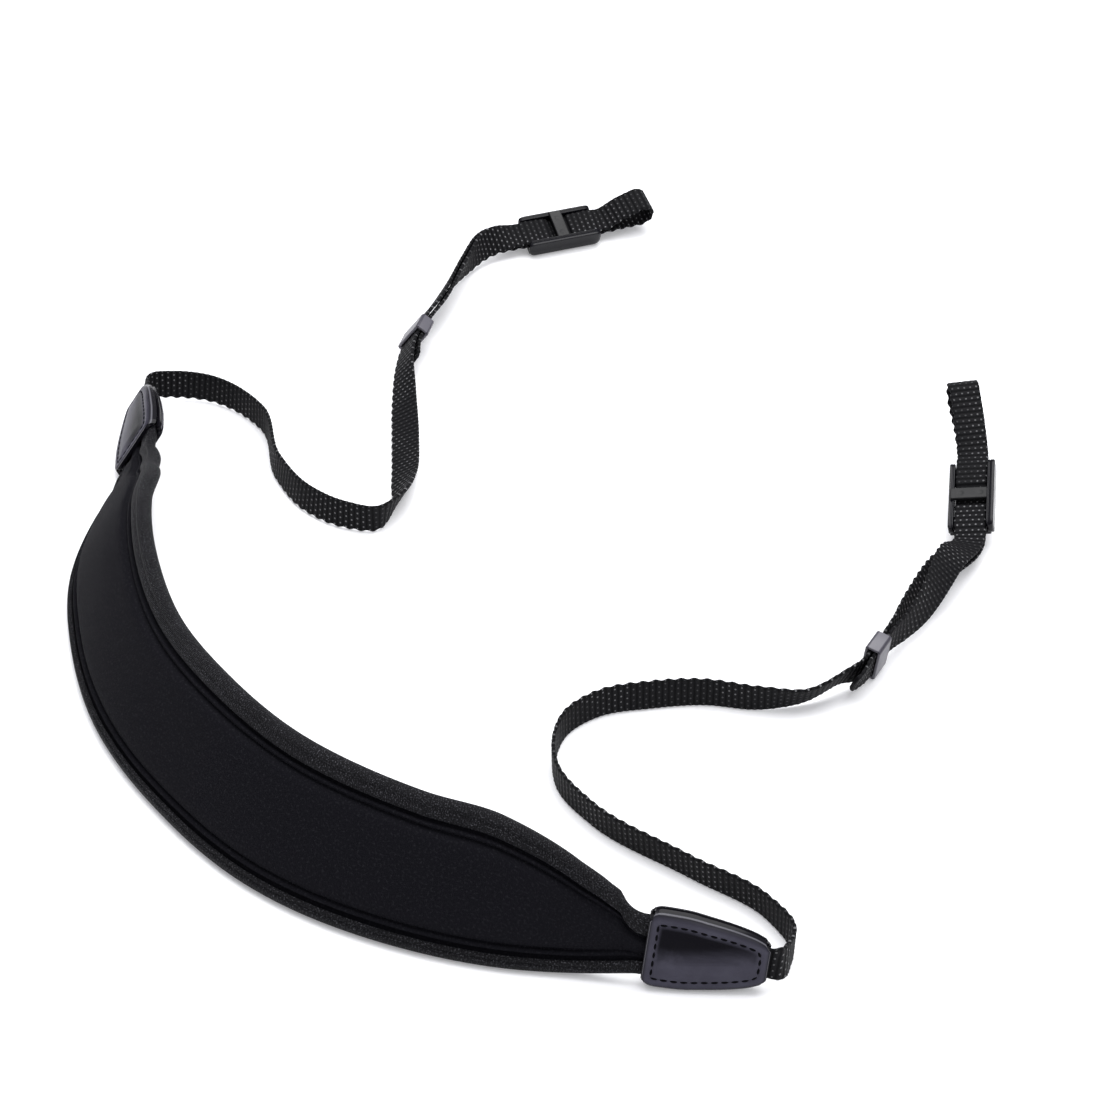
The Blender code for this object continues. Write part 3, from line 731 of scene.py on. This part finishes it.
def padSection(half, edge, full, lowerDepth):
    front, back, tip, peak = padHalf(half, edge, full, tapeSize["depth"])
    lowerFront, lowerBack, _, _ = padHalf(half, edge, full, lowerDepth)
    section = [tip] + front + [(tip[1], peak)]
    section += [(-a, b) for a, b in lowerFront[::-1]] + [(-tip[0], tip[1])]
    section += [(-a, b) for a, b in lowerBack] + [(tip[1], -edge + 0.6 - 0.8 * full)] + back[::-1]
    return np.array(section)


def tapeSection(half, edge, full, depth):
    bend = half - edge
    inside = edge - tapeSize["wall"]
    lip = half - depth
    hem = bend - lip
    under = half - tapeSize["depth"]
    crease = tapeLook["crease"] * full
    section = [
        (lip + 0.1, edge - 1.15),
        (lip - 0.08, edge - 0.75),
        (lip + 0.1 * hem, edge - 0.3),
        (lip + 0.34 * hem, edge + 0.08 * full),
        (lip + 0.64 * hem, edge - 0.08 * full),
        (lip + 0.92 * hem, edge - crease),
        (bend + 0.22 * edge, edge - 0.05),
    ]
    turns = np.radians((52, 27, 0, -27, -52, -78))
    section += [(bend + edge * math.cos(t), edge * math.sin(t)) for t in turns]
    section += [
        (under + 2.2, -edge - 0.1 * full),
        (under + 0.3, -edge + 0.1),
        (under - 0.05, -edge + 0.6),
        (under + 0.1, -edge + 1.1),
        (under + 0.6, tapeSize["wall"] - edge),
    ]
    turns = np.radians((-80, -35, 0, 35, 80))
    section += [(bend + inside * math.cos(t), inside * math.sin(t)) for t in turns]
    section.append((lip + 0.16 * hem, edge - tapeSize["wall"] - 0.15))
    return np.array(section)


# Stations along the pad, with what its sections need and the depth of the lower tape in front
def alongPad(run, step):
    at = lengths(run["centre"])
    place = np.linspace(0, at[-1], round(at[-1] / step) + 1)
    station = {key: sampledAt(place, at, values.reshape(len(at), -1)) for key, values in run.items()}
    shape = [station["width"][:, 0] / 2, station["edge"][:, 0], station["full"][:, 0]]
    return place, station, shape, np.interp(place / place[-1], *np.array(padLook["lowerTape"]).T)


def sweptAlong(name, place, station, section, perSpan, upper, uneven, seed):
    count = len(place)
    line = rounded(section.reshape(len(section), -1), perSpan).reshape(-1, 2, count)
    line = np.concatenate([line, line[:1]])
    steps = np.linalg.norm(np.diff(line[:, :, count // 2], axis=0), axis=1)
    around = np.concatenate([[0], np.cumsum(steps)])
    across, out = line[:, 0].T, line[:, 1].T
    longOut, longAcross, wide = padLook["folds"]
    full = station["full"]
    slow = smoothNoise(place[:, None] / longOut, across / wide, seed)
    out = out + uneven * slow * full * np.sign(out)
    slow = smoothNoise(place[:, None] / longAcross, out / wide, seed + 3)
    across = across + 0.5 * uneven * slow * full
    points = (station["centre"][:, None] + upper * across[..., None] * station["up"][:, None]
              + out[..., None] * station["out"][:, None])
    flat = np.stack(np.broadcast_arrays(place[:, None], around[None, :]), axis=-1)
    return skin(name, points, flat), steps.sum()


def makeNeopreneMaterial():
    material, tree, shader = newMaterial("neoprene", Roughness=0.66, Specular_IOR_Level=0.02)
    flat = mapOf(tree)
    knit = useGroup(tree, knitGroup, Map=flat, Wale=0.55, Course=0.55, Uneven=0.2)
    lint = fade(tree, noise(tree, flat, 1.1, 4.0), 0.5, 0.76, 0.0, 0.14)
    tree.links.new(blend(tree, lint, padLook["neoprene"], tapeLook["fleck"]),
                   shader.inputs["Base Color"])
    bump(tree, shader, knit["Height"], 0.08)
    return material


def makeTapeMaterial():
    material, tree, shader = newMaterial("bindingTape", Roughness=0.65, Specular_IOR_Level=0.1)
    flat = mapOf(tree)
    knit = useGroup(tree, knitGroup, Map=flat, Wale=tapeLook["rib"], Course=0.5, Uneven=0.5)
    # Painted shade between the knit's threads, shown in patches
    shown = fade(tree, noise(tree, flat, 0.12, 2.0), 0.35, 0.6, 0.6, 1.0)
    rib = calc(tree, "ADD", calc(tree, "MULTIPLY", knit["Height"], shown), calc(tree, "SUBTRACT", 1.0, shown))
    cloth = blend(tree, rib, tapeLook["groove"], tapeLook["cloth"])
    tree.links.new(blend(tree, knit["Fleck"], cloth, tapeLook["fleck"]), shader.inputs["Base Color"])
    bump(tree, shader, knit["Height"], 0.16)
    return material


def padAndTapes(run):
    place, station, shape, lower = alongPad(run, padLook["step"])
    mesh, _ = sweptAlong("neck_pad_foam", place, station, padSection(*shape, lower),
                         padLook["perSpan"], 1, padLook["uneven"], 2)
    pad = finished("neck_pad_foam", mesh, makeNeopreneMaterial())
    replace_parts(pad, "neck_pad")
    cloth = makeTapeMaterial()
    place, station, shape, lower = alongPad(run, tapeLook["step"])
    for label, upper, depth, seed in (("upper", 1, tapeSize["depth"], 5), ("lower", -1, lower, 8)):
        name = "binding_" + label
        mesh, girth = sweptAlong(name + "_tape", place, station, tapeSection(*shape, depth),
                                 tapeLook["perSpan"], upper, tapeLook["uneven"], seed)
        tape = finished(name + "_tape", mesh, cloth)
        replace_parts(tape, name)
        print(name, round(place[-1]), "x", round(girth / 2, 1), "mm", len(mesh.polygons), "faces")


# ---- leather tabs

tabLook = {
    "perSpan": 8,
    "across": 72,
    "rim": 1.3,                    # width over which its sides come down to the seam
    "soft": 0.42,                  # rounding of the cut edges
    "puff": 0.4,                   # how far the leather swells beside its stitches
    "crown": (0.5, 4.5),           # rise of the stitched panel, and over what it rises
    "seamWidth": 0.6,
    "inset": 2.8,                  # of the stitches from the edge
    "pitch": 3.0,
    "stitch": (2.4, 0.52),         # length and radius
    "sunk": 0.05,                  # how deep a stitch's middle lies in the leather
    # dark is the leather's own colour; the two lavender tones after it are a painted reflection of the pale
    # floor, mixed at random
    "dark": (0.0058, 0.0054, 0.0075, 1),
    "leather": (0.049, 0.047, 0.063, 1),
    "worn": (0.06, 0.058, 0.077, 1),
    # bead: a painted highlight line along the edge
    "bead": (0.13, 0.128, 0.145, 1),
    "thread": (0.0015, 0.0015, 0.0025, 1),
}
tabShape = rounded(tabOutline, tabLook["perSpan"], closed=False)


def toOutline(distance, across):
    half = np.interp(distance, *tabShape.T)
    return np.minimum(np.minimum(half - np.abs(across), tabLength - distance), distance)


def tabHeight(distance, across):   # of the patch's inner face over the tab's middle plane
    half = np.interp(distance, *tabShape.T)
    reach = np.abs(across)
    padHigh = tapeSize["halfPressed"] + gap
    webHigh = webSize["thick"] / 2 + gap
    toTip = smooth((distance - tabSize["padInTab"]) / (tabLength - tabSize["padInTab"]))
    high = padHigh + (webHigh + 0.3 - padHigh) * toTip
    high -= 0.3 * smooth((distance - tabLength + 3.0) / 3.0)
    filled = np.where(distance < tabSize["padInTab"] + 1, padRows[0][4], webSize["width"]) / 2 + 0.3
    rim = high + (tabSize["seam"] - high) * smooth((half - filled) / 1.2)
    past = np.clip((reach - half + tabLook["rim"]) / tabLook["rim"], 0, 1)
    height = rim + (high - rim) * (1 - past**2.2)
    toEdge = toOutline(distance, across)
    toSeam = (toEdge - tabLook["inset"]) / tabLook["seamWidth"]
    height += tabLook["puff"] * smooth(toEdge / 2.0) * (1 - np.exp(-toSeam**2))
    rise, over = tabLook["crown"]
    inside = smooth((toEdge - tabLook["inset"]) / over)
    bow = 1 - (across / np.maximum(half - tabLook["inset"], 1.0))**2
    return height + rise * inside * np.clip(bow, 0, 1)


def tabPatch(name, frame, side, leather):
    mouth, along, up, out = frame
    distance, half = tabShape.T
    distance = distance[:, None]
    across = half[:, None] * np.linspace(-1, 1, tabLook["across"] + 1)
    height = tabHeight(distance, across)
    points = (mouth + along * distance[..., None] + up * across[..., None]
              + out * side * height[..., None])
    flat = np.stack([toOutline(distance, across), across - 0.15 * (distance - 14)], axis=-1)
    patch = finished(name, skin(name, points, flat, facing=out * side), leather)
    walled(patch, tabSize["wall"], 1)
    softRims(patch, tabLook["soft"])
    return patch


def tabStitches(name, frame, thread):
    mouth, along, up, out = frame
    inset = tabLook["inset"]
    distance = np.linspace(inset, tabLength - inset, 60)
    upper = np.column_stack([distance, np.interp(distance, *tabShape.T) - inset])
    path = np.vstack([upper, upper[::-1] * (1, -1), upper[:1]])
    at = lengths(path)
    long, radius = tabLook["stitch"]
    bm = bmesh.new()
    for side in (1, -1):
        count = round(at[-1] / tabLook["pitch"])
        for start in np.arange(count) * at[-1] / count:
            spot = []
            for where in (start + 0.4, start + 0.4 + long):
                d, a = (np.interp(where, at, path[:, k]) for k in (0, 1))
                height = tabHeight(d, a) + tabSize["wall"] - tabLook["sunk"]
                spot.append(mouth + along * d + up * a + out * side * height)
            run = spot[1] - spot[0]
            ahead = unit(run)
            beside = unit(np.cross(out, ahead))
            turn = Matrix(np.column_stack([ahead, beside, np.cross(ahead, beside)])).to_4x4()
            size = Matrix.Diagonal((np.linalg.norm(run) / 2 * mm, radius * mm, radius * mm, 1))
            place = Matrix.Translation(placed((spot[0] + spot[1]) / 2))
            bmesh.ops.create_uvsphere(bm, u_segments=10, v_segments=6, radius=1,
                                      matrix=place @ turn @ size)
    finished(name, meshOf(name, bm), thread)


# The lavender tone over the leather's own dark is a painted reflection of the pale floor. It is left off at
# the top of the stitched panel, which is painted shade there, along the seam and at the edge, and a painted
# highlight line runs just inside the edge. The patch's map holds the distance from the outline, and the
# height across with the dark shrinking to the tip.
def makeLeatherMaterial():
    material, tree, shader = newMaterial("tabLeather", Specular_IOR_Level=0.02, Coat_Roughness=0.15)
    grain = useGroup(tree, grainGroup, Place=placeOf(tree), Size=0.45)
    toEdge, across, _ = partsOf(tree, mapOf(tree))
    inset = tabLook["inset"]
    streaks = calc(tree, "MULTIPLY_ADD", noise(tree, mapOf(tree), 0.3), 4.0, -2.0)
    # Toward the top of the stitched panel the painted reflection fades out: painted shade
    high = fade(tree, calc(tree, "ADD", across, streaks), -3.5, 4.0)
    panel = fade(tree, toEdge, inset + 0.3, inset + 1.6)
    offSeam = calc(tree, "ABSOLUTE", calc(tree, "SUBTRACT", toEdge, inset))
    seam = fade(tree, offSeam, 0.2, 0.6, 0.75, 0.0)
    edge = fade(tree, toEdge, 0.5, 1.7, 1.0, 0.0)
    unreflected = calc(tree, "MAXIMUM", calc(tree, "MULTIPLY", high, panel), calc(tree, "MAXIMUM", seam, edge))
    # The lavender tones: a painted reflection of the pale floor, mixed at random
    reflectedTone = blend(tree, fade(tree, grain["Cloud"], 0.4, 0.7), tabLook["leather"], tabLook["worn"])
    # A painted highlight line just inside the edge
    toEdgeHighlight = calc(tree, "ABSOLUTE", calc(tree, "SUBTRACT", toEdge, 0.6))
    bead = fade(tree, toEdgeHighlight, 0.04, 0.16, 0.8, 0.0)
    toned = blend(tree, unreflected, reflectedTone, tabLook["dark"])
    tree.links.new(blend(tree, bead, toned, tabLook["bead"]), shader.inputs["Base Color"])
    tree.links.new(calc(tree, "MULTIPLY", edge, 0.2), shader.inputs["Coat Weight"])
    tree.links.new(calc(tree, "MULTIPLY_ADD", edge, -0.1, 0.3), shader.inputs["Roughness"])
    bump(tree, shader, grain["Height"], 0.05, 0.7)
    return material


def makeThreadMaterial():
    return newMaterial("thread", Base_Color=tabLook["thread"], Roughness=0.8, Specular_IOR_Level=0.05)[0]


def tabPieces(label, frame, leather, thread):
    for face, side in (("front", 1), ("back", -1)):
        node = "tab_" + face + "_" + label
        patch = tabPatch(node + "_leather", frame, side, leather)
        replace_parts(patch, node)
    tabStitches("tab_stitches_" + label, frame, thread)


# ---- keepers and buckles

# corner: painted shade along the sleeve's rounded corners
keeperLook = {"plastic": (0.105, 0.101, 0.118, 1), "corner": (0.035, 0.032, 0.045, 1), "rim": 0.22}
buckleLook = {
    "lowerRail": (2.5, 3.8),       # thickness, height of its top over the middle
    "upperRail": (1.9, 2.1),
    "plastic": (0.0028, 0.0026, 0.0045, 1),
    "bar": (0.0085, 0.0085, 0.009, 1),
    "clear": 0.2,                  # between the webbing's edge and a rail
    "ledge": (6.4, 1.3, 0.9),      # length, width and thickness of the ledges by the end bars
    "rim": 0.35,
    "groove": 0.3,                 # depth of the line along a rail's top
    "dimple": 0.16,                # depth of the two in a middle bar
}


def spotOf(run, spot, lift=0.0):
    i = nearest(run, spot["x"], spot["y"])
    centre = run["centre"][i] + lift * run["out"][i]
    return centre, run["along"][i], run["up"][i], run["out"][i]


def matrixOf(spot):
    centre, along, up, out = spot
    return Matrix.Translation(placed(centre)) @ Matrix(np.column_stack([along, up, out])).to_4x4()


def makePlasticMaterial(name, colour, roughness, grainSize, depth, level):
    material, tree, shader = newMaterial(name, Base_Color=colour, Specular_IOR_Level=level)
    grain = useGroup(tree, grainGroup, Place=placeOf(tree), Size=grainSize)
    tree.links.new(fade(tree, grain["Cloud"], 0.3, 0.7, roughness - 0.04, roughness + 0.06),
                   shader.inputs["Roughness"])
    bump(tree, shader, grain["Height"], depth)
    return material, tree, shader


# Painted shade along the rounded corners, where the map is above nought both ways
def makeKeeperMaterial():
    material, tree, shader = makePlasticMaterial("keeperPlastic", keeperLook["plastic"], 0.42, 0.3, 0.02,
                                                 0.5)
    pastAcross, pastOut, _ = partsOf(tree, mapOf(tree))
    corner = fade(tree, calc(tree, "MINIMUM", pastAcross, pastOut), -0.05, 0.2)
    tree.links.new(blend(tree, corner, keeperLook["plastic"], keeperLook["corner"]),
                   shader.inputs["Base Color"])
    return material


def keeperPiece(name, run, spot, plastic):
    wall = keeperSize["wall"]
    wide = webSize["width"] + 2 * (gap + wall)
    high = 2 * (webSize["layerPart"] + webSize["thick"] / 2 + gap + wall)
    size = Matrix.Diagonal((keeperSize["length"] * mm, wide * mm, high * mm, 1))
    bm = bmesh.new()
    bmesh.ops.create_cube(bm, size=1, matrix=size)
    ends = [face for face in bm.faces if abs(face.normal.x) > 0.5]
    bmesh.ops.delete(bm, geom=ends, context="FACES_ONLY")
    longEdges = [e for e in bm.edges if abs(e.verts[0].co.x - e.verts[1].co.x) > mm]
    corner = keeperSize["corner"]
    bmesh.ops.bevel(bm, geom=longEdges, offset=corner * mm, segments=6, profile=0.5,
                    affect="EDGES", material=-1)
    layer = bm.loops.layers.uv.new("flat")
    for loop in (loop for face in bm.faces for loop in face.loops):
        place = loop.vert.co / mm
        loop[layer].uv = (abs(place.y) - wide / 2 + corner, abs(place.z) - high / 2 + corner)
    bmesh.ops.transform(bm, matrix=matrixOf(spotOf(run, spot)), verts=bm.verts)
    piece = finished(name, meshOf(name, bm), plastic)
    walled(piece, wall, -1)
    softRims(piece, keeperLook["rim"])
    return piece


def railMesh(spot, side, innerFace, thick, top):
    centre, along, up, out = spot
    length = buckleSize["length"]
    half = thick / 2
    middle = innerFace + half
    high = buckleSize["railHeight"] / 2
    corner = buckleSize["railCorner"]
    groove = buckleLook["groove"]
    section = np.array([           # across from the webbing's side outwards, height
        (-half, -high + 0.4), (-half, 0), (-half, high - 0.3), (-half + 0.12, high - 0.03),
        (-half + 0.45, high), (-half + 0.55, high - groove), (-half + 0.9, high - groove),
        (-half + 1.0, high - 0.05), (half - 0.3, high), (half - 0.08, high - 0.1),
        (half, high - 0.4), (half, 0), (half, -high + 0.5), (half - 0.15, -high + 0.12),
        (half - 0.5, -high), (-half + 0.4, -high), (-half + 0.08, -high + 0.1),
    ])
    section = np.vstack([section, section[:1]])
    turn = np.sin(np.linspace(0, math.pi / 2, 9))
    reach = length / 2 - corner + corner * turn
    place = np.concatenate([-reach[::-1], np.linspace(-reach[0], reach[0], 12)[1:-1], reach])
    past = np.clip((np.abs(place) - (length / 2 - corner)) / corner, 0, 0.995)
    drop = corner * (1 - np.sqrt(1 - past**2))
    thin = 1 - 0.3 * np.clip(past - 0.75, 0, 1) / 0.25
    below = (high - drop) / high
    above = (top - 0.45 * drop) / high
    across = section[:, 0] * thin[:, None]
    height = section[:, 1] * np.where(section[:, 1] > 0, above[:, None], below[:, None])
    points = (centre + along * place[:, None, None] + up * (side * (middle + across))[..., None]
              + out * height[..., None])
    return skin("rail", points, points[..., :2])


def blockMesh(spot, size, at, rim):
    bm = bmesh.new()
    scale = Matrix.Diagonal((size[0] * mm, size[1] * mm, size[2] * mm, 1))
    bmesh.ops.create_cube(bm, size=1, matrix=Matrix.Translation(Vector(at) * mm) @ scale)
    bmesh.ops.bevel(bm, geom=bm.edges[:], offset=rim * mm, segments=3, profile=0.5,
                    affect="EDGES", material=-1)
    bmesh.ops.transform(bm, matrix=matrixOf(spot), verts=bm.verts)
    return meshOf("block", bm)


def joined(name, meshes):
    bm = bmesh.new()
    for mesh in meshes:
        bm.from_mesh(mesh)
        bpy.data.meshes.remove(mesh)
    return meshOf(name, bm)


# The middle bar: a rounded slab with two shallow dimples
def barMesh(name, spot, span, middle):
    centre, along, up, out = spot
    half = buckleSize["middleBar"] / 2
    thick = buckleSize["barThick"] / 2
    rim = 0.4
    turn = np.radians(np.linspace(0, 90, 4))
    corner = np.column_stack([half - rim + rim * np.sin(turn), thick - rim + rim * np.cos(turn)])
    flatTop = np.column_stack([np.linspace(-half + rim, half - rim, 24), np.full(24, thick)])
    top = np.vstack([corner[::-1] * (-1, 1), flatTop[1:-1], corner])
    section = np.vstack([top, -top, top[:1]])
    y = np.linspace(-span / 2, span / 2, 64)[:, None]
    x, z = section[:, 0], section[:, 1]
    dent = sum(np.exp(-((x / 0.95)**2 + ((y - place) / 0.95)**2)**2) for place in (-3.4, 3.4))
    height = z - buckleLook["dimple"] * dent * (z > thick - 0.01)
    points = (centre + along * np.broadcast_to(x, height.shape)[..., None]
              + up * np.broadcast_to(y, height.shape)[..., None]
              + out * (middle + height)[..., None])
    return skin(name, points, points[..., :2])


def bucklePieces(label, run, spot, plastic, satin):
    place = spotOf(run, spot, buckleSize["dip"])
    under = webSize["layerPart"] + webSize["thick"] / 2 + gap - webSize["wave"] + 0.12
    middle = under + buckleSize["barThick"] / 2
    span = webSize["width"] + 4 * gap + buckleSize["railThick"]
    endAt = (buckleSize["length"] - buckleSize["endBar"]) / 2
    endSize = (buckleSize["endBar"] - 0.4, span, buckleSize["barThick"])
    name = "buckle_" + label
    face = webSize["width"] / 2 + buckleLook["clear"]
    long, wide, _ = buckleLook["ledge"]
    ledges = [
        blockMesh(place, buckleLook["ledge"],
                  (end * (endAt - long / 2), side * (face + 0.1 - wide / 2), -middle), 0.2)
        for end in (-1, 1) for side in (-1, 1)
    ]
    rails = [
        railMesh(place, -1, face, *buckleLook["lowerRail"]),
        railMesh(place, 1, face, *buckleLook["upperRail"]),
    ]
    ends = [blockMesh(place, endSize, (end * endAt, 0, -middle), buckleLook["rim"]) for end in (-1, 1)]
    frameMesh = joined(name + "_frame", ledges + rails + ends)
    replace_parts(finished(name + "_frame", frameMesh, plastic), name)
    finished(name + "_bar", barMesh(name + "_bar", place, span - 0.6, middle), satin)


# ---- stage, light and camera

def studio():
    view = {"elevation": 36.0, "distance": 1250.0, "lens": 118.64}
    tilt = math.radians(view["elevation"])
    camera = bpy.data.objects.new("camera", bpy.data.cameras.new("camera"))
    camera.data.lens = view["lens"]
    camera.data.sensor_width = 36.0
    camera.data.clip_start = 0.05
    camera.location = placed((0, -view["distance"] * math.cos(tilt), view["distance"] * math.sin(tilt)))
    camera.rotation_euler = (math.pi / 2 - tilt, 0, 0)
    scene.collection.objects.link(camera)
    scene.camera = camera

    bm = bmesh.new()
    bmesh.ops.create_grid(bm, x_segments=1, y_segments=1, size=6.0)
    floor = bpy.data.objects.new("table", meshOf("table", bm))
    scene.collection.objects.link(floor)
    material, _, _ = newMaterial("paleTable", Base_Color=(0.84, 0.84, 0.85, 1), Roughness=0.7,
                                 Emission_Color=(1, 1, 1, 1), Emission_Strength=0.2)
    floor.data.materials.append(material)

    lamps = {
        "above": {"size": 2.2, "power": 52, "at": (0.15, 0.4, 1.8)},
        "front": {"size": 1.2, "power": 7, "at": (0.8, -1.2, 1.5)},
    }
    for name, lamp in lamps.items():
        light = bpy.data.lights.new(name, "AREA")
        light.shape = "DISK"
        light.size = lamp["size"]
        light.energy = lamp["power"]
        holder = bpy.data.objects.new(name, light)
        holder.location = lamp["at"]
        holder.rotation_euler = (-Vector(lamp["at"])).to_track_quat("-Z", "Y").to_euler()
        scene.collection.objects.link(holder)
    world = bpy.data.worlds.new("studio")
    world.use_nodes = True
    tree = world.node_tree
    _, _, height = partsOf(tree, tree.nodes.new("ShaderNodeTexCoord").outputs["Generated"])
    sky = fade(tree, height, -0.1, 0.75, 0.12, 0.75)
    backdrop = tree.nodes["Background"]
    backdrop.inputs["Color"].default_value = (0.93, 0.94, 1.0, 1)
    tree.links.new(sky, backdrop.inputs["Strength"])
    scene.world = world
    scene.view_settings.view_transform = "Standard"


# ---- build

studio()
pad = padRun()
padAndTapes(pad)
webMaterial = makeWebbingMaterial()
leather = makeLeatherMaterial()
thread = makeThreadMaterial()
keeperPlastic = makeKeeperMaterial()
bucklePlastic = makePlasticMaterial("bucklePlastic", buckleLook["plastic"], 0.2, 0.6, 0.003, 0.2)[0]
barPlastic = makePlasticMaterial("barPlastic", buckleLook["bar"], 0.45, 0.3, 0.01, 0.25)[0]
for label, side in sides.items():
    tab = tabFrame(pad, side)
    tabPieces(label, tab, leather, thread)
    run = webbingRun(side, tab)
    webbing, length = webbingPiece("webbing_" + label + "_woven", side, run, webMaterial)
    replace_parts(webbing, "webbing_" + label)
    keeper = keeperPiece("keeper_" + label + "_sleeve", run, side["keeper"], keeperPlastic)
    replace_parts(keeper, "keeper_" + label)
    bucklePieces(label, run, side["buckle"], bucklePlastic, barPlastic)
    print("webbing", label, round(length), "mm", len(webbing.data.polygons), "faces")
